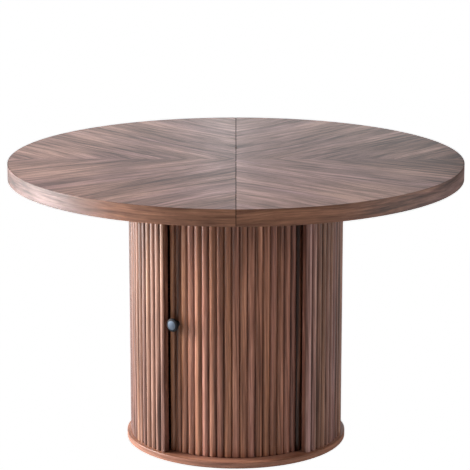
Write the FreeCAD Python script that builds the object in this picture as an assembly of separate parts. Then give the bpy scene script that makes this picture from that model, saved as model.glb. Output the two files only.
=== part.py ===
"""Round dining table on a fluted drum pedestal with a sliding tambour door.

Millimetres. +Z is up, the origin is on the floor below the centre of the tabletop, and the
door opening faces -Y. Azimuths are in degrees about +Z, from -Y (the front) towards +X.
"""
import FreeCAD, Part
import math
import os

from FreeCAD import Vector

os.makedirs("parts", exist_ok=True)

UP = Vector(0, 0, 1)
BACK = 180

# ---- driving dimensions -------------------------------------------------------------------
# overall
TOP_DIAMETER = 1200
TABLE_HEIGHT = 760
TOP_THICKNESS = 43
PEDESTAL_DIAMETER = 568          # over the crests of the flutes
PLINTH_LEDGE = 10                # the plinth's edge stands out this far past the flutes

# tabletop
VENEER = 0.6
TOP_BOARD = 18
SEAM_GAP = 1.8                   # between the two half tops
SEAL_HEIGHT = 18                 # foam strip that fills the seam between the build-up pieces
SEAL_INSET = 2                   # above the underside of the top
SEAL_END = 110                   # length of its raised ends
SEAL_END_DROP = 1                # below the surface of the top
EDGE_BAND = 1.5
EDGE_ROUND = 1.0
RIM_WIDTH = 58                   # build-up ring under the edge of the top
CENTER_BLOCK_MARGIN = 16         # build-up disc under the middle, past the pedestal's flutes
RIB_WIDTH = 50
DIAGONAL_RIB_AZIMUTH = 52
LEAVES = 8
SEAM_DOWEL_DIAMETER = 8
SEAM_DOWEL_LENGTH = 50
SEAM_DOWELS = 5

# steel plates that join the half tops
PLATE_WIDTH = 80
PLATE_LENGTH = 120
PLATE_THICKNESS = 3
PLATE_SCREW_SPACING_X = 50
PLATE_SCREW_SPACING_Y = 80
PLATE_SCREW_DIAMETER = 5
PLATE_SCREW_LENGTH = 18
PLATE_CORNER_ROUND = 6

# pedestal shell
OPENING_ANGLE = 80.8             # between the first whole flutes of the two side panels
SIDE_SLATS = 34                  # flutes on each side panel
LEFT_TRIM = 5.0                  # cut off the left panel's first flute, measured round its crest
CORE = 9.5                       # bent core that the flutes are glued to
PANEL_SLAT_SIDE = 3.0            # straight part of a flute's flank
PANEL_SLAT_RISE = 5.2            # height of its crown
SLAT_GAP = 0.33                  # between the backs of two neighbours
EDGE_STRIP = 2.0
BATTEN_WIDTH = 60
BATTEN_THICKNESS = 15
BATTEN_SCREW_DIAMETER = 4
BATTEN_SCREW_GRIP = 7            # length past the batten, in the core
BATTEN_SCREW_SPREAD = 36
BATTEN_SCREW_ROWS = 4
HEAD_BOARD = 18
PANEL_DOWEL_DIAMETER = 5
PANEL_DOWEL_LENGTH = 20
PANEL_DOWEL_IN_CORE = 6.2
PANEL_DOWELS_PER_SIDE = 5

# plinth and glides
PLINTH = 16
PLINTH_ROUND = 1.5
GLIDE_DIAMETER = 30
GLIDE_HEIGHT = 2
GLIDE_INSET = 44                 # from the plinth's edge to a glide's centre
GLIDES = 8
PLINTH_SCREW_DIAMETER = 4
PLINTH_SCREW_GRIP = 19           # length past the plinth
PLINTH_SCREWS_PER_SIDE = 5

# cabinet inside the shell
CABINET_FLOOR = 12
CABINET_CORNER_INSET = 3         # from the floor's edge to the corners of the side boards
CABINET_CORNER_AZIMUTH = 45.855
CABINET_BOARD = 12
CABINET_BACK = 9
CABINET_BACK_INSET = 3
CABINET_DOWEL_DIAMETER = 6
CABINET_DOWEL_LENGTH = 20
CABINET_DOWEL_SPACING = 120
SHELF = 15
SHELF_TOP_HEIGHT = 380
SHELF_SETBACK = 4                # of its curved front from the floor's edge
SHELF_PIN_DIAMETER = 5
SHELF_PIN_LENGTH = 16
SHELF_PIN_EMBEDDED = 8
SHELF_PIN_SPACING = 220

# bolts between the pedestal and the top
BOLT_AZIMUTHS = (25, 65, 115, 155)
BOLT_WALL_DISTANCE = 31          # from a side board's inner face to the nearest bolts
BOLT_DIAMETER = 8
BOLT_HEAD_DIAMETER = 17
BOLT_HEAD_HEIGHT = 5
BOLT_GRIP = 13                   # length in the insert
INSERT_DIAMETER = 12
INSERT_LENGTH = 15

# tambour door
DOOR_CLEARANCE = 9               # between the crests of its slats and the side panels
DOOR_LAP = 0.3                   # its leading edge lies this far behind the left panel's
DOOR_TRIM = 7.9                  # cut off the leading slat, measured round its crest
DOOR_OVERLAP_SLATS = 1           # further slats behind the right panel when the door is shut
DOOR_SLAT_SIDE = 3.0
DOOR_SLAT_RISE = 5.0
CANVAS = 0.8
DOOR_TRAVEL = 70
DOOR_END_GAP = 2                 # above the plinth and below the head board
TRACK_CLEARANCE = 0.6            # each side of a tenon
TRACK_DEPTH = 8
TENON_THICKNESS = 4.3
TENON_WIDTH = 10
TENON_TOP_GAP = 2
GLIDER_HEIGHT = 3
GLIDER_WIDTH = 8
GLIDER_EVERY = 5                 # slats from one glider to the next
STOP_LENGTH = 12

# knob
KNOB_SLAT = 1                    # counted from the leading slat, which is 0
KNOB_HEIGHT = 367.5
KNOB_DIAMETER = 36
KNOB_PROJECTION = 26.5
KNOB_FOOT_DIAMETER = 16
KNOB_FOOT = 1.5
KNOB_NECK_DIAMETER = 10
KNOB_HEAD_START = 17             # from the foot to the back of the head
KNOB_UNDER_ROUND = 2.5           # round under the head's edge
KNOB_RIM = 1.0                   # straight height of the head's edge
KNOB_SHOULDER = 3.5              # round from the head's edge to its face
KNOB_SEAT_DEPTH = 2              # flat cut into the slat under the foot
KNOB_SCREW_DIAMETER = 4
KNOB_SCREW_HEAD_DIAMETER = 9
KNOB_SCREW_HEAD = 2.3
KNOB_SCREW_GRIP = 12             # length of the screw inside the knob

# clearances
GLUE_GAP = 0.3                   # beside curved faces, and round dowels and screws
RUN_GAP = 0.3                    # between pieces that slide, where they rest or stop
SHELF_GAP = 0.5                  # each side of the loose shelf
CABINET_CLEARANCE = 8            # between the cabinet's floor and the door's canvas
DRILL_GAP = 1.0                  # past the end of a dowel or screw
SCREW_HEAD_ROUND = 0.4           # share of a screw head's height that is rounded

# ---- sizes that follow --------------------------------------------------------------------
top_radius = TOP_DIAMETER / 2
under_top = TABLE_HEIGHT - TOP_THICKNESS
veneer_z = TABLE_HEIGHT - VENEER
top_board_z = veneer_z - TOP_BOARD
band_inner = top_radius - EDGE_BAND
board_radius = band_inner - GLUE_GAP
rim_inner = board_radius - RIM_WIDTH
half_seam = SEAM_GAP / 2

ledge_z = GLIDE_HEIGHT + PLINTH
head_z = under_top - HEAD_BOARD
half_opening = OPENING_ANGLE / 2
slat_pitch = (BACK - half_opening) / SIDE_SLATS

panel_crest = PEDESTAL_DIAMETER / 2
left_trim_angle = math.degrees(LEFT_TRIM / panel_crest)
plinth_radius = panel_crest + PLINTH_LEDGE
block_radius = panel_crest + CENTER_BLOCK_MARGIN
plate_radius = (block_radius + rim_inner) / 2
panel_slat_back = panel_crest - PANEL_SLAT_SIDE - PANEL_SLAT_RISE
core_outer = panel_slat_back - GLUE_GAP
core_inner = core_outer - CORE
core_middle = (core_inner + core_outer) / 2
head_radius = core_inner - GLUE_GAP

door_radius = core_inner - DOOR_CLEARANCE
door_slat_back = door_radius - DOOR_SLAT_SIDE - DOOR_SLAT_RISE
canvas_outer = door_slat_back - GLUE_GAP
canvas_inner = canvas_outer - CANVAS
track_radius = door_slat_back + DOOR_SLAT_SIDE
track_inner = track_radius - TENON_THICKNESS / 2 - TRACK_CLEARANCE
track_outer = track_radius + TENON_THICKNESS / 2 + TRACK_CLEARANCE
door_z = ledge_z + DOOR_END_GAP
door_top_z = head_z - DOOR_END_GAP
tenon_low_z = ledge_z - TRACK_DEPTH + RUN_GAP + GLIDER_HEIGHT
tenon_high_z = head_z + TRACK_DEPTH - TENON_TOP_GAP
door_pitch = slat_pitch * panel_crest / door_radius
door_lead = -half_opening - left_trim_angle - math.degrees(DOOR_LAP / door_radius)
door_start = door_lead - math.degrees(DOOR_TRIM / door_radius)
door_slat_count = math.ceil((half_opening - door_start) / door_pitch) + DOOR_OVERLAP_SLATS
door_end = door_start + door_slat_count * door_pitch
door_slat_azimuths = [door_start + (i + 0.5) * door_pitch for i in range(door_slat_count)]
knob_azimuth = door_slat_azimuths[KNOB_SLAT]
knob_seat = door_radius - KNOB_SEAT_DEPTH

cabinet_z = ledge_z + CABINET_FLOOR
floor_radius = canvas_inner - CABINET_CLEARANCE
corner_radius = floor_radius - CABINET_CORNER_INSET
cabinet_x = corner_radius * math.sin(math.radians(CABINET_CORNER_AZIMUTH))
cabinet_y = corner_radius * math.cos(math.radians(CABINET_CORNER_AZIMUTH))
shelf_front = floor_radius - SHELF_SETBACK
side_inner = cabinet_x - CABINET_BOARD
back_face_y = cabinet_y - CABINET_BACK_INSET - CABINET_BACK
bolt_circle = (side_inner - BOLT_WALL_DISTANCE) / math.sin(math.radians(BOLT_AZIMUTHS[1]))
plinth_screw_length = PLINTH + PLINTH_SCREW_GRIP
batten_screw_length = BATTEN_THICKNESS + BATTEN_SCREW_GRIP


# ---- helpers ------------------------------------------------------------------------------
def at(radius, azimuth, z=0):
    """The point at a radius and azimuth."""
    a = math.radians(azimuth)
    return Vector(radius * math.sin(a), -radius * math.cos(a), z)


def outward(azimuth):
    return at(1, azimuth)


def arc_angle(length, radius):
    """The angle that an arc of this length spans."""
    return math.degrees(length / radius)


def box(x, y, z):
    """A box between pairs of coordinates."""
    return Part.makeBox(x[1] - x[0], y[1] - y[0], z[1] - z[0], Vector(x[0], y[0], z[0]))


def disc(radius, z_low, z_high):
    return Part.makeCylinder(radius, z_high - z_low, Vector(0, 0, z_low))


def ring(inner, outer, z_low, z_high):
    return disc(outer, z_low, z_high).cut(disc(inner, z_low, z_high))


def ring_sector(inner, outer, z_low, z_high, start, end):
    """Part of a ring between two azimuths."""
    middle = (start + end) / 2
    edges = [
        Part.Arc(at(outer, start), at(outer, middle), at(outer, end)).toShape(),
        Part.makeLine(at(outer, end), at(inner, end)),
        Part.Arc(at(inner, end), at(inner, middle), at(inner, start)).toShape(),
        Part.makeLine(at(inner, start), at(outer, start)),
    ]
    face = Part.Face(Part.Wire(edges))
    face.translate(Vector(0, 0, z_low))
    return face.extrude(UP * (z_high - z_low))


def rod(diameter, length, base, direction, gap=0.0):
    """A round rod, or with a gap the hole that takes it."""
    return Part.makeCylinder(diameter / 2 + gap, length, base, direction)


def screw(diameter, length, head_diameter, head, seat, direction):
    """A screw whose head lies behind its seat and whose shank points along direction."""
    shank = rod(diameter, length, seat, direction)
    cap = rod(head_diameter, head, seat - direction * head, direction)
    rim = [e for e in cap.Edges if e.Curve.TypeId == "Part::GeomCircle"]
    far = min(rim, key=lambda e: e.CenterOfMass.dot(direction))
    return cap.makeFillet(head * SCREW_HEAD_ROUND, [far]).fuse(shank).removeSplitter()


def turned(shape, azimuth):
    """A copy turned about the table's axis, from the front to an azimuth."""
    copy = shape.copy()
    copy.rotate(Vector(0, 0, 0), UP, azimuth)
    return copy


def half(shape, side):
    """The part of a shape on one side of the seam: -1 is left, 1 is right."""
    x = sorted((side * half_seam, side * TOP_DIAMETER))
    return shape.common(box(x, (-TOP_DIAMETER, TOP_DIAMETER), (0, TABLE_HEIGHT)))


def cut_all(shape, tools):
    return shape.cut(tools) if tools else shape


def save(name, *shapes):
    """Write one node, a single solid or a group of separate solids."""
    shape = shapes[0] if len(shapes) == 1 else Part.makeCompound(list(shapes))
    shape.exportStep(f"parts/{name}.step")


SIDES = (("left", -1), ("right", 1))


# ---- places that several pieces share -----------------------------------------------------
def seam_dowel(y, gap=0.0, extra=0.0):
    length = SEAM_DOWEL_LENGTH + 2 * extra
    base = Vector(-length / 2, y, top_board_z + TOP_BOARD / 2)
    return rod(SEAM_DOWEL_DIAMETER, length, base, Vector(1, 0, 0), gap)


def seam_dowel_places():
    step = 2 * board_radius / (SEAM_DOWELS + 1)
    return [(i + 1) * step - board_radius for i in range(SEAM_DOWELS)]


def plate_screw_places():
    return [
        Vector(sx * PLATE_SCREW_SPACING_X / 2, sy * plate_radius + ty * PLATE_SCREW_SPACING_Y / 2, 0)
        for sy in (-1, 1)
        for sx in (-1, 1)
        for ty in (-1, 1)
    ]


def bolt_places():
    return [at(bolt_circle, side * a) for side in (-1, 1) for a in BOLT_AZIMUTHS]


def spread(count):
    """Azimuths spaced evenly along one side panel, clear of its ends."""
    span = BACK - half_opening
    return [half_opening + (i + 0.5) * span / count for i in range(count)]


def panel_dowel(azimuth, gap=0.0, extra=0.0):
    """A radial dowel from the head board into a side panel's core."""
    length = PANEL_DOWEL_LENGTH + 2 * extra
    start = core_inner + PANEL_DOWEL_IN_CORE + extra - length
    above_track = (head_z + TRACK_DEPTH + under_top) / 2
    return rod(PANEL_DOWEL_DIAMETER, length, at(start, azimuth, above_track), outward(azimuth), gap)


def panel_dowel_azimuths():
    return [side * a for side in (-1, 1) for a in spread(PANEL_DOWELS_PER_SIDE)]


def plinth_screw_places():
    """Under the cores, and under the cabinet's side boards."""
    cores = [
        at(core_middle, side * a) for side in (-1, 1) for a in spread(PLINTH_SCREWS_PER_SIDE)
    ]
    boards = [
        Vector(side * (cabinet_x - CABINET_BOARD / 2), y * CABINET_DOWEL_SPACING / 2, 0)
        for side in (-1, 1)
        for y in (-1, 1)
    ]
    return cores + boards


def plinth_screw_hole(place, gap=GLUE_GAP):
    base = Vector(place.x, place.y, GLIDE_HEIGHT)
    return rod(PLINTH_SCREW_DIAMETER, plinth_screw_length + DRILL_GAP, base, UP, gap)


def cabinet_dowel(side, y, z, gap=0.0, extra=0.0):
    """A vertical dowel through the joint at height z between a side board and a level board."""
    length = CABINET_DOWEL_LENGTH + 2 * extra
    x = side * (cabinet_x - CABINET_BOARD / 2)
    return rod(CABINET_DOWEL_DIAMETER, length, Vector(x, y, z - length / 2), UP, gap)


def cabinet_dowel_places(z):
    return [(side, i * CABINET_DOWEL_SPACING, z) for side in (-1, 1) for i in (-1, 0, 1)]


def shelf_pin(side, y, gap=0.0, extra=0.0):
    """A pin in a side board, with the shelf resting on its free end."""
    x = side_inner + SHELF_PIN_EMBEDDED + extra
    z = SHELF_TOP_HEIGHT - SHELF - SHELF_PIN_DIAMETER / 2
    length = SHELF_PIN_LENGTH + extra
    return rod(SHELF_PIN_DIAMETER, length, Vector(side * x, y, z), Vector(-side, 0, 0), gap)


def batten_flat():
    """The y of the batten's outer face, whose two edges reach the cores."""
    return math.sqrt(core_inner**2 - (BATTEN_WIDTH / 2) ** 2) - GLUE_GAP


def batten_screw_places():
    y = batten_flat() - BATTEN_THICKNESS
    step = (head_z - ledge_z) / BATTEN_SCREW_ROWS
    rows = [ledge_z + (i + 0.5) * step for i in range(BATTEN_SCREW_ROWS)]
    return [Vector(side * BATTEN_SCREW_SPREAD / 2, y, z) for side in (-1, 1) for z in rows]


def batten_screw_hole(place):
    length = batten_screw_length + DRILL_GAP
    return rod(BATTEN_SCREW_DIAMETER, length, place, Vector(0, 1, 0), GLUE_GAP)


def panel_edge(side):
    """The azimuth, without its sign, at which a side panel starts."""
    return half_opening + (left_trim_angle if side < 0 else 0)


def flute(back_radius, pitch, side, crown, z_low, z_high):
    """A half-round slat at the front, with a flat back at back_radius."""
    half_width = back_radius * math.tan(math.radians(pitch / 2)) - SLAT_GAP / 2
    shoulder = back_radius + side
    left_back = Vector(-half_width, -back_radius, z_low)
    right_back = Vector(half_width, -back_radius, z_low)
    left_shoulder = Vector(-half_width, -shoulder, z_low)
    right_shoulder = Vector(half_width, -shoulder, z_low)
    crest = Vector(0, -shoulder - crown, z_low)
    edges = [
        Part.makeLine(left_back, right_back),
        Part.makeLine(right_back, right_shoulder),
        Part.Arc(right_shoulder, crest, left_shoulder).toShape(),
        Part.makeLine(left_shoulder, left_back),
    ]
    return Part.Face(Part.Wire(edges)).extrude(UP * (z_high - z_low))


# ---- tabletop -----------------------------------------------------------------------------
def top_board(side):
    board = half(disc(board_radius, top_board_z, veneer_z), side)
    return board.cut([seam_dowel(y, GLUE_GAP, DRILL_GAP) for y in seam_dowel_places()])


def rim_frame(side):
    return half(ring(rim_inner, board_radius, under_top, top_board_z), side)


def edge_band(side):
    band = half(ring(band_inner, top_radius, under_top, TABLE_HEIGHT), side)
    outer = [
        e
        for e in band.Edges
        if e.Curve.TypeId == "Part::GeomCircle" and abs(e.Curve.Radius - top_radius) < 1e-6
    ]
    return band.makeFillet(EDGE_ROUND, outer)


def veneer_leaf(number):
    """One wedge of the eight-leaf match, numbered from the front seam towards +X."""
    angle = 360 / LEAVES
    wedge = Part.makeCylinder(board_radius, VENEER, Vector(0, 0, veneer_z), UP, angle)
    return half(turned(wedge, number * angle - 90), 1 if number < LEAVES / 2 else -1)


def center_block(side):
    block = half(disc(block_radius, under_top, top_board_z), side)
    holes = [
        rod(INSERT_DIAMETER, INSERT_LENGTH + DRILL_GAP, Vector(p.x, p.y, under_top), UP, GLUE_GAP)
        for p in bolt_places()
    ]
    return block.cut(holes)


def rib_space():
    """The ring between the center block and the rim frame."""
    return ring(block_radius + GLUE_GAP, rim_inner - GLUE_GAP, under_top, top_board_z)


def seam_ribs(side):
    """Straight ribs along the seam, one in front and one behind."""
    x = sorted((side * half_seam, side * (half_seam + RIB_WIDTH)))
    ribs = []
    for y in ((-top_radius, 0), (0, top_radius)):
        rib = rib_space().common(box(x, y, (under_top, top_board_z)))
        holes = [
            rod(PLATE_SCREW_DIAMETER, PLATE_SCREW_LENGTH, Vector(p.x, p.y, under_top), UP, GLUE_GAP)
            for p in plate_screw_places()
            if x[0] < p.x < x[1] and y[0] < p.y < y[1]
        ]
        ribs.append(cut_all(rib, holes))
    return ribs


def seam_seal():
    """A strip of dark foam in the seam, below the dowels and raised at its two ends."""
    low = under_top + SEAL_INSET
    across = (-half_seam, half_seam)
    strip = box(across, (-board_radius, board_radius), (low, low + SEAL_HEIGHT))
    front = box(
        across, (-board_radius, SEAL_END - board_radius), (low, TABLE_HEIGHT - SEAL_END_DROP)
    )
    return strip.fuse([front, turned(front, BACK)]).removeSplitter()


def diagonal_ribs(side):
    beam = box((-RIB_WIDTH / 2, RIB_WIDTH / 2), (-top_radius, 0), (under_top, top_board_z))
    azimuths = (side * DIAGONAL_RIB_AZIMUTH, side * (BACK - DIAGONAL_RIB_AZIMUTH))
    return [rib_space().common(turned(beam, a)) for a in azimuths]


def joining_plate(sign):
    y = sign * plate_radius
    plate = box(
        (-PLATE_WIDTH / 2, PLATE_WIDTH / 2),
        (y - PLATE_LENGTH / 2, y + PLATE_LENGTH / 2),
        (under_top - PLATE_THICKNESS, under_top),
    )
    corners = [e for e in plate.Edges if abs(e.tangentAt(0).z) > 0.9]
    plate = plate.makeFillet(PLATE_CORNER_ROUND, corners)
    base = under_top - PLATE_THICKNESS
    holes = [
        rod(PLATE_SCREW_DIAMETER, PLATE_THICKNESS, Vector(p.x, p.y, base), UP, GLUE_GAP)
        for p in plate_screw_places()
        if p.y * sign > 0
    ]
    return plate.cut(holes)


def joining_screws():
    seat = under_top - PLATE_THICKNESS
    return [
        screw(PLATE_SCREW_DIAMETER, PLATE_SCREW_LENGTH, PLATE_SCREW_DIAMETER * 2,
              PLATE_SCREW_DIAMETER / 2, Vector(p.x, p.y, seat), UP)
        for p in plate_screw_places()
    ]


# ---- pedestal -----------------------------------------------------------------------------
def head_board():
    board = disc(head_radius, head_z, under_top)
    track = ring(track_inner, track_outer, head_z, head_z + TRACK_DEPTH)
    bolts = [
        rod(BOLT_DIAMETER, HEAD_BOARD, Vector(p.x, p.y, head_z), UP, GLUE_GAP) for p in bolt_places()
    ]
    radial = [panel_dowel(a, GLUE_GAP, DRILL_GAP) for a in panel_dowel_azimuths()]
    upright = [cabinet_dowel(*p, GLUE_GAP, DRILL_GAP) for p in cabinet_dowel_places(head_z)]
    return board.cut([track] + bolts + radial + upright)


def threaded_inserts():
    sleeves = []
    for p in bolt_places():
        base = Vector(p.x, p.y, under_top)
        sleeve = rod(INSERT_DIAMETER, INSERT_LENGTH, base, UP)
        sleeves.append(sleeve.cut(rod(BOLT_DIAMETER, INSERT_LENGTH, base, UP, GLUE_GAP)))
    return sleeves


def table_bolts():
    return [
        screw(BOLT_DIAMETER, HEAD_BOARD + BOLT_GRIP, BOLT_HEAD_DIAMETER, BOLT_HEAD_HEIGHT,
              Vector(p.x, p.y, head_z), UP)
        for p in bolt_places()
    ]


def panel_core(side):
    """The bent board of one side, from its edge strip to the middle of the back."""
    start = panel_edge(side) + arc_angle(EDGE_STRIP, core_middle)
    core = ring_sector(core_inner, core_outer, ledge_z, under_top, side * start, side * BACK)
    dowels = [panel_dowel(a, GLUE_GAP, DRILL_GAP) for a in panel_dowel_azimuths() if a * side > 0]
    screws = [plinth_screw_hole(p) for p in plinth_screw_places() if p.x * side > 0]
    batten = [batten_screw_hole(p) for p in batten_screw_places() if p.x * side > 0]
    return core.cut(dowels + screws + batten)


def edge_strip(side):
    start = panel_edge(side)
    end = start + arc_angle(EDGE_STRIP, core_middle)
    return ring_sector(core_inner, core_outer, ledge_z, under_top, side * start, side * end)


def panel_slats(side):
    slat = flute(panel_slat_back, slat_pitch, PANEL_SLAT_SIDE, PANEL_SLAT_RISE, ledge_z, under_top)
    azimuths = [half_opening + (i + 0.5) * slat_pitch for i in range(SIDE_SLATS)]
    slats = [turned(slat, side * a) for a in azimuths]
    if panel_edge(side) > half_opening:
        waste = ring_sector(core_outer, panel_crest + DRILL_GAP, ledge_z, under_top,
                            side * (panel_edge(side) - slat_pitch), side * panel_edge(side))
        slats[0] = slats[0].cut(waste)
    return slats


def back_batten():
    flat = batten_flat()
    batten = box(
        (-BATTEN_WIDTH / 2, BATTEN_WIDTH / 2), (flat - BATTEN_THICKNESS, flat), (ledge_z, head_z)
    )
    return batten.cut([batten_screw_hole(p) for p in batten_screw_places()])


def batten_screws():
    d = BATTEN_SCREW_DIAMETER
    along = Vector(0, 1, 0)
    return [screw(d, batten_screw_length, d * 2, d / 2, p, along) for p in batten_screw_places()]


def plinth():
    board = disc(plinth_radius, GLIDE_HEIGHT, ledge_z)
    board = board.makeFillet(
        PLINTH_ROUND, [e for e in board.Edges if e.Curve.TypeId == "Part::GeomCircle"]
    )
    track = ring(track_inner, track_outer, ledge_z - TRACK_DEPTH, ledge_z)
    heads = [plinth_screw_head(p) for p in plinth_screw_places()]
    return board.cut([track] + heads + [plinth_screw_hole(p) for p in plinth_screw_places()])


def plinth_screw_head(place, gap=GLUE_GAP):
    """The countersink that takes a plinth screw's head, or with no gap the head itself."""
    radius = PLINTH_SCREW_DIAMETER / 2
    base = Vector(place.x, place.y, GLIDE_HEIGHT)
    return Part.makeCone(2 * radius + gap, radius + gap, radius, base, UP)


def plinth_screws():
    d = PLINTH_SCREW_DIAMETER
    screws = []
    for p in plinth_screw_places():
        base = Vector(p.x, p.y, GLIDE_HEIGHT + d / 4)
        shank = rod(d, plinth_screw_length - d / 4, base, UP)
        screws.append(plinth_screw_head(p, 0).fuse(shank).removeSplitter())
    return screws


def floor_glides():
    step = 360 / GLIDES
    return [
        rod(GLIDE_DIAMETER, GLIDE_HEIGHT, at(plinth_radius - GLIDE_INSET, (i + 0.5) * step), UP)
        for i in range(GLIDES)
    ]


def panel_dowels():
    return [panel_dowel(a) for a in panel_dowel_azimuths()]


# ---- cabinet ------------------------------------------------------------------------------
def cabinet_floor():
    board = disc(floor_radius, ledge_z, cabinet_z)
    dowels = [cabinet_dowel(*p, GLUE_GAP, DRILL_GAP) for p in cabinet_dowel_places(cabinet_z)]
    return board.cut(dowels + [plinth_screw_hole(p) for p in plinth_screw_places()])


def cabinet_side(side):
    x = sorted((side * side_inner, side * cabinet_x))
    board = box(x, (-cabinet_y, cabinet_y), (cabinet_z, head_z))
    places = cabinet_dowel_places(cabinet_z) + cabinet_dowel_places(head_z)
    dowels = [cabinet_dowel(*p, GLUE_GAP, DRILL_GAP) for p in places if p[0] == side]
    pins = [shelf_pin(side, y, GLUE_GAP, DRILL_GAP) for y in shelf_pin_places()]
    screws = [plinth_screw_hole(p) for p in plinth_screw_places() if p.x * side > 0]
    return board.cut(dowels + pins + screws)


def cabinet_back():
    return box(
        (-side_inner, side_inner), (back_face_y, back_face_y + CABINET_BACK), (cabinet_z, head_z)
    )


def cabinet_dowels():
    places = cabinet_dowel_places(cabinet_z) + cabinet_dowel_places(head_z)
    return [cabinet_dowel(*p) for p in places]


def shelf():
    z = (SHELF_TOP_HEIGHT - SHELF, SHELF_TOP_HEIGHT)
    width = side_inner - SHELF_GAP
    board = box((-width, width), (-shelf_front, back_face_y - SHELF_GAP), z)
    return board.common(disc(shelf_front, *z))


def shelf_pin_places():
    return (-SHELF_PIN_SPACING / 2, SHELF_PIN_SPACING / 2)


def shelf_pins():
    return [shelf_pin(side, y) for side in (-1, 1) for y in shelf_pin_places()]


# ---- tambour door -------------------------------------------------------------------------
def door_slat():
    """A slat at the front, with a thin tenon at each end that runs in the track."""
    body = flute(door_slat_back, door_pitch, DOOR_SLAT_SIDE, DOOR_SLAT_RISE, door_z, door_top_z)
    x = (-TENON_WIDTH / 2, TENON_WIDTH / 2)
    y = (-track_radius - TENON_THICKNESS / 2, -track_radius + TENON_THICKNESS / 2)
    return body.fuse(box(x, y, (tenon_low_z, tenon_high_z))).removeSplitter()


def door_slats():
    slats = [turned(door_slat(), a) for a in door_slat_azimuths]
    seat = rod(KNOB_FOOT_DIAMETER, KNOB_PROJECTION, at(knob_seat, knob_azimuth, KNOB_HEIGHT),
               outward(knob_azimuth), 2 * GLUE_GAP)
    slats[KNOB_SLAT] = slats[KNOB_SLAT].cut([seat, knob_screw_hole()])
    waste = ring_sector(canvas_inner, core_inner, 0, under_top, door_lead - door_pitch, door_lead)
    slats[0] = slats[0].cut(waste)
    return slats


def knob_screw_hole():
    start = canvas_inner - DRILL_GAP
    length = knob_seat - start + KNOB_SCREW_GRIP + DRILL_GAP
    base = at(start, knob_azimuth, KNOB_HEIGHT)
    return rod(KNOB_SCREW_DIAMETER, length, base, outward(knob_azimuth), GLUE_GAP)


def door_canvas():
    canvas = ring_sector(canvas_inner, canvas_outer, door_z, door_top_z, door_lead, door_end)
    return canvas.cut(knob_screw_hole())


def door_gliders():
    """Nylon pads under the tenons, in the lower track, that carry the door."""
    y = (-track_radius - TENON_THICKNESS / 2, -track_radius + TENON_THICKNESS / 2)
    pad = box((-GLIDER_WIDTH / 2, GLIDER_WIDTH / 2), y, (tenon_low_z - GLIDER_HEIGHT, tenon_low_z))
    return [turned(pad, a) for a in door_slat_azimuths[::GLIDER_EVERY]]


def track_stops():
    """Blocks in the upper track that the outermost tenons meet at the two ends of travel."""
    size = arc_angle(STOP_LENGTH, track_radius)
    shut = door_lead - arc_angle(RUN_GAP, track_radius)
    last_tenon = door_slat_azimuths[-1] + arc_angle(TENON_WIDTH / 2, track_radius)
    opened = last_tenon + DOOR_TRAVEL + arc_angle(RUN_GAP, track_radius)
    inner = track_inner + GLUE_GAP
    outer = track_outer - GLUE_GAP
    top = head_z + TRACK_DEPTH
    return [
        ring_sector(inner, outer, head_z, top, shut - size, shut),
        ring_sector(inner, outer, head_z, top, opened, opened + size),
    ]


def knob():
    """A round knob with a shallow face, turned about +Z and then laid on its seat."""
    foot = KNOB_FOOT_DIAMETER / 2
    neck = KNOB_NECK_DIAMETER / 2
    head = KNOB_DIAMETER / 2
    diagonal = math.sqrt(0.5)
    rim_low = KNOB_HEAD_START + KNOB_UNDER_ROUND
    rim_high = rim_low + KNOB_RIM
    under = head - KNOB_UNDER_ROUND
    face = head - KNOB_SHOULDER
    face_low = rim_high + KNOB_SHOULDER
    rise = KNOB_PROJECTION - face_low
    face_radius = (face**2 + rise**2) / (2 * rise)
    half_way = math.asin(face / face_radius) / 2
    foot_top = Vector(foot, 0, KNOB_FOOT)
    waist = Vector(neck, 0, (KNOB_FOOT + KNOB_HEAD_START) / 2)
    neck_top = Vector(foot, 0, KNOB_HEAD_START)
    under_end = Vector(under, 0, KNOB_HEAD_START)
    under_middle = Vector(
        under + diagonal * KNOB_UNDER_ROUND, 0, rim_low - diagonal * KNOB_UNDER_ROUND
    )
    rim_start = Vector(head, 0, rim_low)
    rim_end = Vector(head, 0, rim_high)
    shoulder_middle = Vector(face + diagonal * KNOB_SHOULDER, 0, rim_high + diagonal * KNOB_SHOULDER)
    face_end = Vector(face, 0, face_low)
    face_middle = Vector(
        face_radius * math.sin(half_way),
        0,
        KNOB_PROJECTION - face_radius * (1 - math.cos(half_way)),
    )
    tip = Vector(0, 0, KNOB_PROJECTION)
    base = Vector(0, 0, 0)
    edges = [
        Part.makeLine(base, Vector(foot, 0, 0)),
        Part.makeLine(Vector(foot, 0, 0), foot_top),
        Part.Arc(foot_top, waist, neck_top).toShape(),
        Part.makeLine(neck_top, under_end),
        Part.Arc(under_end, under_middle, rim_start).toShape(),
        Part.makeLine(rim_start, rim_end),
        Part.Arc(rim_end, shoulder_middle, face_end).toShape(),
        Part.Arc(face_end, face_middle, tip).toShape(),
        Part.makeLine(tip, base),
    ]
    body = Part.Face(Part.Wire(edges)).revolve(base, UP, 360)
    body = body.cut(rod(KNOB_SCREW_DIAMETER, KNOB_SCREW_GRIP + DRILL_GAP, base, UP, GLUE_GAP))
    body.rotate(base, Vector(1, 0, 0), 90)
    body.translate(Vector(0, -knob_seat, KNOB_HEIGHT))
    return turned(body, knob_azimuth)


def knob_screw():
    seat = at(canvas_inner, knob_azimuth, KNOB_HEIGHT)
    length = knob_seat - canvas_inner + KNOB_SCREW_GRIP
    return screw(KNOB_SCREW_DIAMETER, length, KNOB_SCREW_HEAD_DIAMETER, KNOB_SCREW_HEAD,
                 seat - outward(knob_azimuth) * GLUE_GAP, outward(knob_azimuth))


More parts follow.
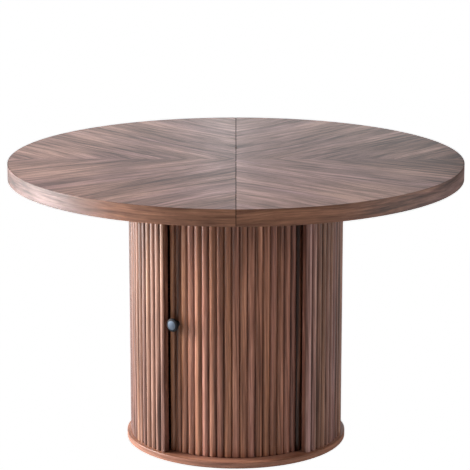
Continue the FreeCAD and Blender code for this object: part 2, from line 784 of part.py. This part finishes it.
# ---- nodes --------------------------------------------------------------------------------
for word, side in SIDES:
    save(f"top_board_{word}", top_board(side))
    save(f"rim_frame_{word}", rim_frame(side))
    save(f"edge_band_{word}", edge_band(side))
    save(f"center_block_{word}", center_block(side))
    save(f"seam_ribs_{word}", *seam_ribs(side))
    save(f"diagonal_ribs_{word}", *diagonal_ribs(side))
    save(f"panel_core_{word}", panel_core(side))
    save(f"panel_slats_{word}", *panel_slats(side))
    save(f"edge_strip_{word}", edge_strip(side))
    save(f"cabinet_side_{word}", cabinet_side(side))

for number in range(LEAVES):
    save(f"veneer_leaf_{number + 1}", veneer_leaf(number))

save("seam_seal", seam_seal())
save("seam_dowels", *[seam_dowel(y) for y in seam_dowel_places()])
save("joining_plate_front", joining_plate(-1))
save("joining_plate_back", joining_plate(1))
save("joining_screws", *joining_screws())

save("head_board", head_board())
save("threaded_inserts", *threaded_inserts())
save("table_bolts", *table_bolts())
save("panel_dowels", *panel_dowels())
save("back_batten", back_batten())
save("batten_screws", *batten_screws())
save("plinth", plinth())
save("plinth_screws", *plinth_screws())
save("floor_glides", *floor_glides())

save("cabinet_floor", cabinet_floor())
save("cabinet_back", cabinet_back())
save("cabinet_dowels", *cabinet_dowels())
save("shelf", shelf())
save("shelf_pins", *shelf_pins())

save("door_slats", *door_slats())
save("door_canvas", door_canvas())
save("door_gliders", *door_gliders())
save("track_stops", *track_stops())
save("knob", knob())
save("knob_screw", knob_screw())
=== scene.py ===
"""Looks, studio and camera for the round walnut table on its fluted storage pedestal.

Metres; Z is up and the front faces -Y. Azimuths are in degrees about +Z, from the front (-Y)
towards +X.
"""

import math

import bpy
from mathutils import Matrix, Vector

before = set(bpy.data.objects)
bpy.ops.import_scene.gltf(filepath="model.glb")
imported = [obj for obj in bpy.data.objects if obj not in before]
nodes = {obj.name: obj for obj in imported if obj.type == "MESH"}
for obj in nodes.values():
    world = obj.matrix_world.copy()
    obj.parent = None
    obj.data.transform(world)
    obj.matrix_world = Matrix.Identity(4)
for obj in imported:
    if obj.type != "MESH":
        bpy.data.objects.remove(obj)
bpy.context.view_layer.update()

TOP_RADIUS = 0.6
PANEL_CREST = 0.284         # radius at the crests of the side panels' slats
DOOR_CREST = 0.257          # and of the door's
CORE_RADIUS = 0.27
PLINTH_RADIUS = 0.294
PANEL_PITCH = 139.6 / 34    # degrees from slat to slat
PANEL_STARTS = {"left": -180.0, "right": 40.4}      # azimuth where each panel's slats begin
DOOR_PITCH = 4.53724
DOOR_START = -43.23684
KNOB_AZIMUTH = DOOR_START + 1.5 * DOOR_PITCH
KNOB_HEIGHT = 0.3675
KNOB_FACE = 0.0120          # radius of its metal face
KNOB_FACE_BLUR = 0.0004     # half the width of that face's edge
KNOB_FRONT = 0.277          # distance from the table's axis past which the face begins


class Graph:
    """A node tree, with short calls for the nodes that the finishes use."""

    def __init__(self, tree):
        self.tree = tree

    def add(self, kind, inputs=None, **settings):
        node = self.tree.nodes.new(kind)
        for key, value in settings.items():
            setattr(node, key, value)
        for key, value in (inputs or {}).items():
            self.feed(node.inputs[key], value)
        return node

    def feed(self, socket, value):
        if isinstance(value, bpy.types.NodeSocket):
            self.tree.links.new(value, socket)
        else:
            socket.default_value = value

    def math(self, operation, *values, clamp=False):
        return self.add("ShaderNodeMath", dict(enumerate(values)), operation=operation,
                        use_clamp=clamp).outputs[0]

    def vector(self, operation, *values):
        return self.add("ShaderNodeVectorMath", dict(enumerate(values)),
                        operation=operation).outputs[0]

    def measure(self, operation, *values):
        """A number worked out of vectors, such as a length."""
        return self.add("ShaderNodeVectorMath", dict(enumerate(values)),
                        operation=operation).outputs["Value"]

    def position(self):
        return self.add("ShaderNodeTexCoord").outputs["Object"]

    def separate(self, vector):
        return self.add("ShaderNodeSeparateXYZ", {0: vector}).outputs

    def combine(self, **parts):
        return self.add("ShaderNodeCombineXYZ", {
            "xyz".index(name): value for name, value in parts.items()}).outputs[0]

    def centred(self, value):
        """Moves the middle of 0..1 to 0."""
        return self.math("SUBTRACT", value, 0.5)

    def noise(self, vector, scale, detail=2.0, roughness=0.5):
        """Noise of a vector that is first stretched by scale, its cells a metre wide at 1."""
        return self.add("ShaderNodeTexNoise", {
            "Vector": self.vector("MULTIPLY", vector, scale), "Scale": 1.0, "Detail": detail,
            "Roughness": roughness}).outputs["Fac"]

    def spread(self, value, low, high, to_low=0.0, to_high=1.0):
        """Maps low..high to to_low..to_high, clamped."""
        return self.add("ShaderNodeMapRange", {
            0: value, 1: low, 2: high, 3: to_low, 4: to_high}).outputs[0]

    def ramp(self, factor, stops):
        node = self.add("ShaderNodeValToRGB", {"Fac": factor})
        elements = node.color_ramp.elements
        while len(elements) < len(stops):
            elements.new(0.5)
        for element, (place, colour) in zip(elements, stops):
            element.position = place
            element.color = (*colour, 1.0)
        return node.outputs["Color"]

    def mix(self, factor, a, b, blend="MIX"):
        node = self.add("ShaderNodeMix", data_type="RGBA", blend_type=blend)
        for socket, value in ((node.inputs[0], factor), (node.inputs[6], a), (node.inputs[7], b)):
            if isinstance(value, tuple) and len(value) == 3:
                value = (*value, 1.0)
            self.feed(socket, value)
        return node.outputs[2]

    def bump(self, shader, height, strength, distance):
        """Raises the surface by height times distance."""
        node = self.add("ShaderNodeBump", {
            "Strength": strength, "Distance": distance, "Height": height})
        self.feed(shader.inputs["Normal"], node.outputs[0])


def new_material(name):
    material = bpy.data.materials.new(name)
    material.use_nodes = True
    graph = Graph(material.node_tree)
    shader = material.node_tree.nodes["Principled BSDF"]
    return material, graph, shader


def finish_with(name, material):
    """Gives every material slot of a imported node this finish."""
    for slot in nodes[name].material_slots:
        slot.material = material


# ---------------------------------------------------------------- walnut

# Linear colours of the wood's growth, from the dark late wood to the pale sapwood streaks.
WALNUT = [
    (0.00, (0.034, 0.0125, 0.0075)),
    (0.25, (0.092, 0.0365, 0.0220)),
    (0.50, (0.175, 0.0810, 0.0550)),
    (0.75, (0.270, 0.1330, 0.0930)),
    (1.00, (0.420, 0.2350, 0.1700)),
]
PORE_COLOUR = (0.016, 0.008, 0.006)
# Tints that lean some bands to red-brown and others to a greyer, cooler brown.
WARM = (1.08, 1.00, 0.82)
COOL = (0.98, 0.92, 1.06)
TOP_COOL = (1.00, 0.91, 1.06)
# RIM_COOL is also the grey-blue of the painted sheen at the rim's ends.
RIM_COOL = (0.72, 0.86, 1.10)
# Tints of whole parts.
SLAT_TINT = (0.885, 0.97, 1.06)
DOOR_TINT = (1.14, 1.06, 0.95)
STRIP_TINT = (1.06, 0.95, 0.93)
PLINTH_TINT = (1.50, 1.48, 1.38)
TOP_TINT = (1.02, 0.94, 1.10)
RIM_TINT = (1.02, 0.98, 0.95)

# The grain wanders gently, so its lines are never ruler straight: cells per metre along and
# across it, and how far it wanders.
WANDER = [(1.8, 6.0, 0.060), (9.0, 40.0, 0.0025)]
# Its layers: cells per metre along and across it, noise detail and roughness, and weight.
LAYERS = {
    "broad": (1.9, 14.0, 2.0, 0.55, 0.75),
    "streak": (3.2, 62.0, 3.0, 0.62, 1.20),
    "fleck": (11.0, 190.0, 2.0, 0.60, 0.90),
    "fibre": (42.0, 700.0, 2.0, 0.60, 0.40),
}
MIDDLE_TONE = 0.53
RINGS = 95.0                # how close the growth rings lie
RING_DEPTH = 0.12


def walnut_group():
    """Grain along X of its vector, in metres: Tone 0..1, Hue 0..1, Pores 0..1 and Height."""
    tree = bpy.data.node_groups.new("walnut_grain", "ShaderNodeTree")
    tree.interface.new_socket("Vector", in_out="INPUT", socket_type="NodeSocketVector")
    for name in ("Tone", "Hue", "Pores", "Height"):
        tree.interface.new_socket(name, in_out="OUTPUT", socket_type="NodeSocketFloat")
    g = Graph(tree)
    start = g.add("NodeGroupInput").outputs[0]
    end = g.add("NodeGroupOutput")

    shift = 0.0
    for along, across, reach in WANDER:
        wave = g.noise(start, (along, across, across), 1.0)
        shift = g.math("MULTIPLY_ADD", g.centred(wave), reach, shift)
    moved = g.vector("ADD", start, g.combine(y=shift))

    layers = {}
    tone = MIDDLE_TONE
    for name, (along, across, detail, roughness, weight) in LAYERS.items():
        layers[name] = g.noise(moved, (along, across, across), detail, roughness)
        tone = g.math("MULTIPLY_ADD", g.centred(layers[name]), weight, tone)

    # Growth rings are contour lines of a slow field, which close into long pointed arches.
    field = g.noise(moved, (0.9, 7.5, 7.5), 1.0, 0.4)
    rings = g.math("SINE", g.math("MULTIPLY", field, RINGS))
    late = g.math("POWER", g.math("MULTIPLY_ADD", rings, 0.5, 0.5), 3.0)
    tone = g.math("MULTIPLY_ADD", late, -RING_DEPTH, tone, clamp=True)
    hue = g.noise(moved, (1.3, 11.0, 11.0), 2.0, 0.5)

    # Walnut is semi-ring-porous: short dark vessels lie along the grain, closer in some bands.
    vessel = g.noise(moved, (60.0, 1600.0, 1600.0), 1.0, 0.5)
    crowd = g.math("MULTIPLY_ADD", layers["streak"], -0.10, 0.74)
    pores = g.spread(g.math("SUBTRACT", vessel, crowd), -0.03, 0.06)
    height = g.math("MULTIPLY_ADD", layers["fibre"], 0.35, g.math("MULTIPLY", pores, -0.65))
    for socket, value in zip(end.inputs, (tone, hue, pores, height)):
        g.feed(socket, value)
    return tree


grain_tree = walnut_group()


def walnut(name, place, lift=0.0, contrast=1.0, warm=0.0, tint=(1.0, 1.0, 1.0), cool=COOL,
           roughness=0.42, relief=0.00012, sheen=0.5, lacquer=0.0):
    """A walnut finish. place(graph) gives the grain vector and values added to tone and warmth."""
    material, g, shader = new_material(name)
    vector, shade, warmth = place(g)
    grain = g.add("ShaderNodeGroup", {"Vector": vector}, node_tree=grain_tree)
    tone, hue, pores, height = grain.outputs
    tone = g.math("MULTIPLY_ADD", g.centred(tone), contrast, 0.5 + lift)
    tone = g.math("ADD", tone, shade, clamp=True)
    colour = g.ramp(tone, [(at, tuple(c * t for c, t in zip(rgb, tint))) for at, rgb in WALNUT])
    lean = g.spread(g.math("ADD", hue, warmth), 0.34 - warm, 0.66 - warm)
    colour = g.mix(1.0, colour, g.mix(lean, cool, WARM), "MULTIPLY")
    colour = g.mix(g.math("MULTIPLY", pores, 0.55), colour, PORE_COLOUR)
    g.feed(shader.inputs["Base Color"], colour)
    # Dark late wood and open pores are a little rougher than the rest.
    rough = g.spread(tone, 0.1, 0.9, roughness + 0.05, roughness - 0.03)
    g.feed(shader.inputs["Roughness"], g.math("MULTIPLY_ADD", pores, 0.15, rough))
    shader.inputs["Specular IOR Level"].default_value = sheen
    shader.inputs["Coat Weight"].default_value = lacquer
    shader.inputs["Coat Roughness"].default_value = 0.18
    g.bump(shader, height, 0.6, relief)
    return material


# How far a seed moves a board or leaf through the wood, so that no two show the same grain.
SEED_SHIFT = (3.1, 1.7, 0.9)


def straight(seed=0.0, axis="XYZ"):
    """Grain along one axis of a flat board, the first letter of axis."""
    def place(g):
        coordinates = g.position()
        if axis != "XYZ":
            parts = g.separate(coordinates)
            x, y, z = (parts["XYZ".index(letter)] for letter in axis)
            coordinates = g.combine(x=x, y=y, z=z)
        moved = g.vector("ADD", coordinates, tuple(seed * shift for shift in SEED_SHIFT))
        return moved, 0.0, 0.0
    return place


def spots(g, point, places, total=0.0):
    """Adds the amount of each round spot to total. It fades out over the spot's radius."""
    for centre, radius, amount in places:
        offset = g.vector("MULTIPLY", g.vector("SUBTRACT", point, centre), (1.0, 1.0, 0.0))
        away = g.measure("LENGTH", offset)
        total = g.math("ADD", g.spread(away, 0.0, radius, amount, 0.0), total)
    return total


# Each leaf's grain points to the middle of the top: its angle from the left-right line in degrees,
# and which of the two flitches it is cut from.
LEAVES = {
    1: (40, 1), 2: (31, 2), 3: (46, 2), 4: (46, 1), 5: (46, 1), 6: (46, 2), 7: (31, 2), 8: (40, 1),
}
LEAF_SLICE = 0.0022         # how much deeper in the flitch the next leaf lies
LEAF_LIFT = 0.04            # how much paler the leaves are than the other wood,
LEAF_LIFTS = {1: 0.22, 3: 0.0}      # and the leaves that differ
# Paler, redder wood near the edge, in every quarter: place, radius and amount.
LEAF_PATCHES = [((0.33, 0.46, 0.0), 0.22, 0.36), ((0.50, 0.12, 0.0), 0.19, 0.40)]
PATCH_SHADE = 0.45          # their paleness as a share of their redness
# Darker, at these places only, not mirrored into the other quarters.
LEAF_SHADES = [((0.60, 0.0, 0.0), 0.36, -0.42), ((0.42, 0.32, 0.0), 0.26, -0.16)]


def leaf(number, angle, flitch):
    """A veneer leaf, book-matched: each quarter of the top mirrors the next, a slice further on."""
    def place(g):
        coordinates = g.position()
        folded = g.vector("ABSOLUTE", coordinates)
        turned = g.add("ShaderNodeMapping", {
            "Vector": folded, "Rotation": (0, 0, -math.radians(angle)),
            "Location": (flitch * SEED_SHIFT[0], flitch * SEED_SHIFT[1], number * LEAF_SLICE),
        }).outputs[0]
        warmth = spots(g, folded, LEAF_PATCHES)
        shade = spots(g, coordinates, LEAF_SHADES, g.math("MULTIPLY", warmth, PATCH_SHADE))
        return turned, shade, warmth
    return place


def polar(g):
    """Azimuth in degrees from the front, radius and height of the shaded point."""
    x, y, z = g.separate(g.position())
    turn = g.math("ARCTAN2", x, g.math("MULTIPLY", y, -1.0))
    azimuth = g.math("MULTIPLY", turn, math.degrees(1))
    return azimuth, g.measure("LENGTH", g.combine(x=x, y=y)), z


def azimuth_bands(g, azimuth, patches):
    """Sum of patches round the axis: the azimuth, half width and amount of each."""
    total = 0.0
    for middle, width, amount in patches:
        away = g.math("ABSOLUTE", g.math("SUBTRACT", azimuth, middle))
        total = g.math("ADD", g.spread(away, 0.0, width, amount, 0.0), total)
    return total


def around(radius, seed=0.0, patches=(), hues=()):
    """Grain that runs round the table's axis, as on a bent edge strip."""
    def place(g):
        azimuth, length, z = polar(g)
        arc = g.math("MULTIPLY_ADD", azimuth, radius * math.radians(1), seed * 2.3)
        vector = g.combine(x=arc, y=z, z=length)
        return vector, azimuth_bands(g, azimuth, patches), azimuth_bands(g, azimuth, hues)
    return place


SLAT_FINENESS = 1.5         # across a slat the grain is this much finer than the top's,
SLAT_STRETCH = 2.0          # and along it this much longer
SLAT_SHIFT = (0.12, 0.03, 0.03)     # how far a slat's wood may lie from its neighbours'
SLAT_SHADES = 0.12          # range of tone from slat to slat
SLAT_HUES = 0.20            # and of warmth
PAINTED_CREST_HIGHLIGHT = 0.04           # how much paler the crests are painted: a painted highlight


def slats(start, pitch, radius, seed=0.0, painted_groove_shade=0.26, patches=()):
    """Grain up each slat, with painted shade in the grooves and a painted highlight on the crests.
    """
    def place(g):
        azimuth, length, z = polar(g)
        count = g.math("DIVIDE", g.math("SUBTRACT", azimuth, start), pitch)
        index = g.math("FLOOR", count)
        draw = g.add("ShaderNodeTexWhiteNoise", {
            "W": g.math("ADD", index, seed)}, noise_dimensions="1D").outputs
        across = g.math("MULTIPLY", azimuth, radius * math.radians(SLAT_FINENESS))
        along = g.math("DIVIDE", z, SLAT_STRETCH)
        moved = g.vector("MULTIPLY_ADD", draw["Color"], SLAT_SHIFT,
                         g.combine(x=along, y=across, z=length))
        shade = g.math("MULTIPLY", g.centred(draw["Value"]), SLAT_SHADES)
        # Painted shade in the grooves and a painted highlight on the crests, by the place across
        # the slat.
        off_crest = g.math("ABSOLUTE", g.centred(g.math("SUBTRACT", count, index)))
        shade = g.math("ADD", shade, g.spread(off_crest, 0.30, 0.48, PAINTED_CREST_HIGHLIGHT, -painted_groove_shade))
        shade = g.math("ADD", shade, azimuth_bands(g, azimuth, patches))
        second = g.add("ShaderNodeSeparateColor", {0: draw["Color"]}).outputs[1]
        return moved, shade, g.math("MULTIPLY", g.centred(second), SLAT_HUES)
    return place


for number, (angle, flitch) in LEAVES.items():
    finish_with(f"veneer_leaf_{number}", walnut(
        f"veneer_{number}", leaf(number, angle, flitch), lift=LEAF_LIFTS.get(number, LEAF_LIFT),
        contrast=1.4, tint=TOP_TINT, cool=TOP_COOL, roughness=0.36, relief=0.00004))

# Patches of each side's edge band and panel, and of the door: azimuth, half width and amount.
# The rim's hue patches paint a sheen: greyer and cooler towards both ends, a painted reflection,
# and redder at the front.
RIM_PAINTED_SHEEN_HUES = {
    "left": [(-80, 56, -0.9), (0, 50, 0.4)],
    "right": [(80, 50, -0.5), (0, 50, 0.4)],
}
# The rim's tone patches are painted shade at both ends of the rim; the left band beside the seam is
# paler.
RIM_PAINTED_SHADE = {
    "left": [(-84, 50, -0.16), (-10, 24, 0.10)],
    "right": [(74, 40, -0.20), (32, 20, -0.08)],
}
# The right panel's patch is painted light on its first slats by the opening.
PANEL_PAINTED_LIGHT = {"left": [], "right": [(43, 8, 0.22)]}
# The door's patches are painted light and shade: a painted pool of light on the slats at -17.5 and
# painted shadows beside both side panels.
DOOR_PAINTED_LIGHT_AND_SHADE = [(-17.5, 9, 0.30), (-40, 9, -0.12), (39, 7, -0.40)]
# The plinth's patch is painted shade on its left side.
PLINTH_PAINTED_SHADE = [(-60, 45, -0.14)]

for seed, side in enumerate(("left", "right")):
    finish_with(f"edge_band_{side}", walnut(
        f"edge_band_{side}",
        around(TOP_RADIUS, seed=3.0 + seed, patches=RIM_PAINTED_SHADE[side], hues=RIM_PAINTED_SHEEN_HUES[side]),
        lift=0.05 * seed, warm=0.10, tint=RIM_TINT, cool=RIM_COOL, roughness=0.55, sheen=0.45))
    finish_with(f"panel_slats_{side}", walnut(
        f"panel_slats_{side}",
        slats(PANEL_STARTS[side], PANEL_PITCH, PANEL_CREST, seed=40.0 * seed + 11.5,
              patches=PANEL_PAINTED_LIGHT[side]),
        contrast=1.2, tint=SLAT_TINT, roughness=0.36, sheen=0.25, lacquer=0.22))
    finish_with(f"edge_strip_{side}", walnut(
        f"edge_strip_{side}", straight(axis="ZXY", seed=5.0 + seed), tint=STRIP_TINT))
    finish_with(f"panel_core_{side}", walnut(
        f"panel_core_{side}", around(CORE_RADIUS, seed=7.0 + seed), roughness=0.5))
    finish_with(f"cabinet_side_{side}", walnut(
        f"cabinet_side_{side}", straight(axis="ZYX", seed=9.0 + seed), roughness=0.45))
finish_with("door_slats", walnut(
    "door_slats",
    slats(DOOR_START, DOOR_PITCH, DOOR_CREST, seed=7.5, painted_groove_shade=0.17, patches=DOOR_PAINTED_LIGHT_AND_SHADE),
    lift=0.02, contrast=1.2, tint=DOOR_TINT, roughness=0.36, sheen=0.2, lacquer=0.3))
finish_with("plinth", walnut(
    "plinth_walnut", around(PLINTH_RADIUS, seed=12.0, patches=PLINTH_PAINTED_SHADE),
    contrast=0.6, tint=PLINTH_TINT))
for seed, (name, axis) in enumerate({
        "head_board": "XYZ", "cabinet_floor": "XYZ", "shelf": "XYZ", "cabinet_back": "ZXY",
        "back_batten": "ZXY"}.items()):
    finish_with(name, walnut(
        f"{name}_walnut", straight(axis=axis, seed=13.0 + seed), roughness=0.45))


# ---------------------------------------------------------------- plain parts

BROAD_SPECKLE = 0.08        # cells of the broad speckle to one cell of the fine one


def speckled(name, colours, scale, roughness, metallic=0.0, relief=0.0001):
    """A plain finish whose colour and roughness vary with two sizes of noise."""
    material, g, shader = new_material(name)
    coordinates = g.position()
    fine = g.noise(coordinates, scale, 3.0, 0.6)
    broad = g.noise(coordinates, tuple(s * BROAD_SPECKLE for s in scale))
    value = g.math("MULTIPLY_ADD", broad, 0.5, g.math("MULTIPLY", fine, 0.5))
    g.feed(shader.inputs["Base Color"], g.ramp(value, [(0.3, colours[0]), (0.7, colours[1])]))
    g.feed(shader.inputs["Roughness"], g.spread(value, 0.3, 0.7, *roughness))
    shader.inputs["Metallic"].default_value = metallic
    g.bump(shader, fine, 0.5, relief)
    return material


board = speckled("fibreboard", ((0.20, 0.125, 0.075), (0.34, 0.225, 0.14)), (420, 420, 420),
                 (0.75, 0.85))
beech = speckled("beech", ((0.38, 0.24, 0.14), (0.55, 0.37, 0.23)), (900, 900, 40), (0.5, 0.6))
zinc = speckled("zinc_steel", ((0.42, 0.42, 0.41), (0.60, 0.60, 0.58)), (900, 900, 900),
                (0.28, 0.42), metallic=1.0, relief=0.00003)
brass = speckled("brass", ((0.50, 0.34, 0.12), (0.68, 0.48, 0.20)), (900, 900, 900),
                 (0.3, 0.45), metallic=1.0, relief=0.00003)
canvas = speckled("canvas", ((0.055, 0.035, 0.025), (0.10, 0.066, 0.045)), (1800, 1800, 1800),
                  (0.85, 0.95), relief=0.0003)
nylon = speckled("nylon", ((0.010, 0.010, 0.010), (0.022, 0.021, 0.020)), (700, 700, 700),
                 (0.4, 0.5))
felt = speckled("felt", ((0.012, 0.010, 0.009), (0.035, 0.030, 0.027)), (2500, 2500, 2500),
                (0.9, 1.0), relief=0.0004)
for material, names in {
        board: ["top_board_left", "top_board_right", "rim_frame_left", "rim_frame_right",
                "center_block_left", "center_block_right", "seam_ribs_left", "seam_ribs_right",
                "diagonal_ribs_left", "diagonal_ribs_right"],
        beech: ["seam_dowels", "panel_dowels", "cabinet_dowels"],
        zinc: ["joining_plate_front", "joining_plate_back", "joining_screws", "table_bolts",
               "batten_screws", "plinth_screws", "shelf_pins", "knob_screw"],
        brass: ["threaded_inserts"],
        canvas: ["door_canvas"],
        nylon: ["door_gliders"],
        felt: ["floor_glides", "track_stops", "seam_seal"],
        }.items():
    for name in names:
        finish_with(name, material)


def knob_finish():
    """Black lacquer with a satin blue-grey metal face, told apart by the distance from the axis."""
    material, g, shader = new_material("knob_metal")
    coordinates = g.position()
    turn = math.radians(KNOB_AZIMUTH)
    offset = g.vector("SUBTRACT", coordinates, (0.0, 0.0, KNOB_HEIGHT))
    across = g.measure("DOT_PRODUCT", offset, (math.cos(turn), math.sin(turn), 0.0))
    out = g.measure("DOT_PRODUCT", offset, (math.sin(turn), -math.cos(turn), 0.0))
    away = g.measure("LENGTH", g.combine(x=across, z=g.separate(offset)[2]))
    inside = g.spread(away, KNOB_FACE + KNOB_FACE_BLUR, KNOB_FACE - KNOB_FACE_BLUR)
    face = g.math("MULTIPLY", inside, g.math("GREATER_THAN", out, KNOB_FRONT))
    fine = g.noise(coordinates, (900.0, 900.0, 900.0), 3.0, 0.6)
    # The face is turned, so it has fine rings about its middle.
    spun = g.add("ShaderNodeTexNoise", {"W": g.math("MULTIPLY", away, 4000.0), "Scale": 1.0},
                 noise_dimensions="1D").outputs["Fac"]
    metal = g.mix(g.math("MULTIPLY_ADD", spun, 0.5, g.math("MULTIPLY", fine, 0.5)),
                  (0.056, 0.072, 0.098), (0.090, 0.112, 0.146))
    black = g.mix(fine, (0.004, 0.004, 0.005), (0.010, 0.010, 0.012))
    g.feed(shader.inputs["Base Color"], g.mix(face, black, metal))
    g.feed(shader.inputs["Metallic"], g.math("MULTIPLY", face, 0.5))
    satin = g.spread(fine, 0.3, 0.7, 0.58, 0.66)
    g.feed(shader.inputs["Roughness"], g.math("MULTIPLY_ADD", face, -0.12, satin))
    shader.inputs["Specular IOR Level"].default_value = 0.12
    g.bump(shader, fine, 0.4, 0.00002)
    return material


finish_with("knob", knob_finish())


# ---------------------------------------------------------------- studio

PLANE_REACH = 40.0
BACKDROP_HEIGHT = -0.002
LAMP_AIM = Vector((0.0, 0.0, 0.4))
LAMPS = {
    # name: azimuth, elevation, distance, (width, height), radiance
    "key_left": (-98, 6.5, 4.0, (0.6, 1.4), 115.0),
    "key_wide": (-84, 6.5, 4.0, (0.9, 1.4), 1.5),
    "high_left": (-82, 24.0, 4.0, (1.5, 1.0), 18.0),
    "high_rear": (-97, 24.0, 4.0, (1.5, 1.0), 24.0),
    "side_right": (76, 12.0, 4.0, (0.7, 1.5), 26.0),
    "rear_right": (104, 12.0, 4.0, (1.2, 1.5), 1.0),
    "fill_left": (-45, 26.0, 4.5, (2.0, 1.6), 4.8),
    "fill_front": (0, 30.0, 4.5, (2.0, 1.6), 0.6),
    "back_left": (-170, 13.0, 4.0, (1.4, 1.3), 1.46),
    "back_right": (173, 13.0, 4.0, (1.2, 1.3), 1.43),
}
CAMERA_PLACE = (0.0, -5.7853, 1.9424)
CAMERA_TILT = 0.2356        # radians that it looks down


def plane(name, height, colours, emission):
    """A level plane, its brightness given by two close colours and what it emits."""
    mesh = bpy.data.meshes.new(name)
    corners = [(x * PLANE_REACH, y * PLANE_REACH, height)
               for x, y in ((-1, -1), (1, -1), (1, 1), (-1, 1))]
    mesh.from_pydata(corners, [], [(0, 1, 2, 3)])
    obj = bpy.data.objects.new(name, mesh)
    bpy.context.scene.collection.objects.link(obj)
    material, g, shader = new_material(name)
    soft = g.noise(g.position(), (0.4, 0.4, 0.4), 1.0)
    g.feed(shader.inputs["Base Color"], g.ramp(soft, [(0.3, colours[0]), (0.7, colours[1])]))
    shader.inputs["Roughness"].default_value = 0.9
    shader.inputs["Specular IOR Level"].default_value = 0.1
    shader.inputs["Emission Color"].default_value = (1.0, 1.0, 1.0, 1.0)
    shader.inputs["Emission Strength"].default_value = emission
    mesh.materials.append(material)
    return obj


def floor():
    """A pale floor that lights the table, and the plain white that the camera sees in its place."""
    pale = plane("floor", 0.0, ((0.64, 0.64, 0.64), (0.68, 0.68, 0.68)), 0.0)
    pale.visible_camera = False
    white = plane("backdrop", BACKDROP_HEIGHT, ((0.9, 0.9, 0.9), (0.92, 0.92, 0.92)), 1.0)
    white.visible_diffuse = white.visible_glossy = white.visible_shadow = False


def softbox(name, azimuth, elevation, distance, size, radiance):
    """A rectangular lamp that faces the table from a direction."""
    data = bpy.data.lights.new(name, "AREA")
    data.shape = "RECTANGLE"
    data.size, data.size_y = size
    data.energy = radiance * math.pi * size[0] * size[1]
    lamp = bpy.data.objects.new(name, data)
    bpy.context.scene.collection.objects.link(lamp)
    a, e = math.radians(azimuth), math.radians(elevation)
    away = Vector((math.sin(a) * math.cos(e), -math.cos(a) * math.cos(e), math.sin(e)))
    lamp.location = LAMP_AIM + away * distance
    lamp.rotation_euler = away.to_track_quat("Z", "Y").to_euler()
    lamp.visible_camera = False


def studio():
    floor()
    for name, values in LAMPS.items():
        softbox(name, *values)
    world = bpy.data.worlds.new("studio")
    world.use_nodes = True
    background = world.node_tree.nodes["Background"]
    background.inputs["Color"].default_value = (1.0, 1.0, 1.0, 1.0)
    background.inputs["Strength"].default_value = 1.0
    seen = world.cycles_visibility      # a white the camera sees, which lights nothing
    seen.diffuse = seen.glossy = seen.transmission = seen.scatter = False
    bpy.context.scene.world = world
    bpy.context.scene.view_settings.view_transform = "Standard"


def camera():
    data = bpy.data.cameras.new("camera")
    data.lens = 171.5
    data.sensor_width = 36.0
    data.shift_x = -0.002
    data.clip_end = 200.0
    obj = bpy.data.objects.new("camera", data)
    bpy.context.scene.collection.objects.link(obj)
    obj.location = CAMERA_PLACE
    obj.rotation_euler = (math.pi / 2 - CAMERA_TILT, 0.0, 0.0)
    bpy.context.scene.camera = obj


studio()
camera()
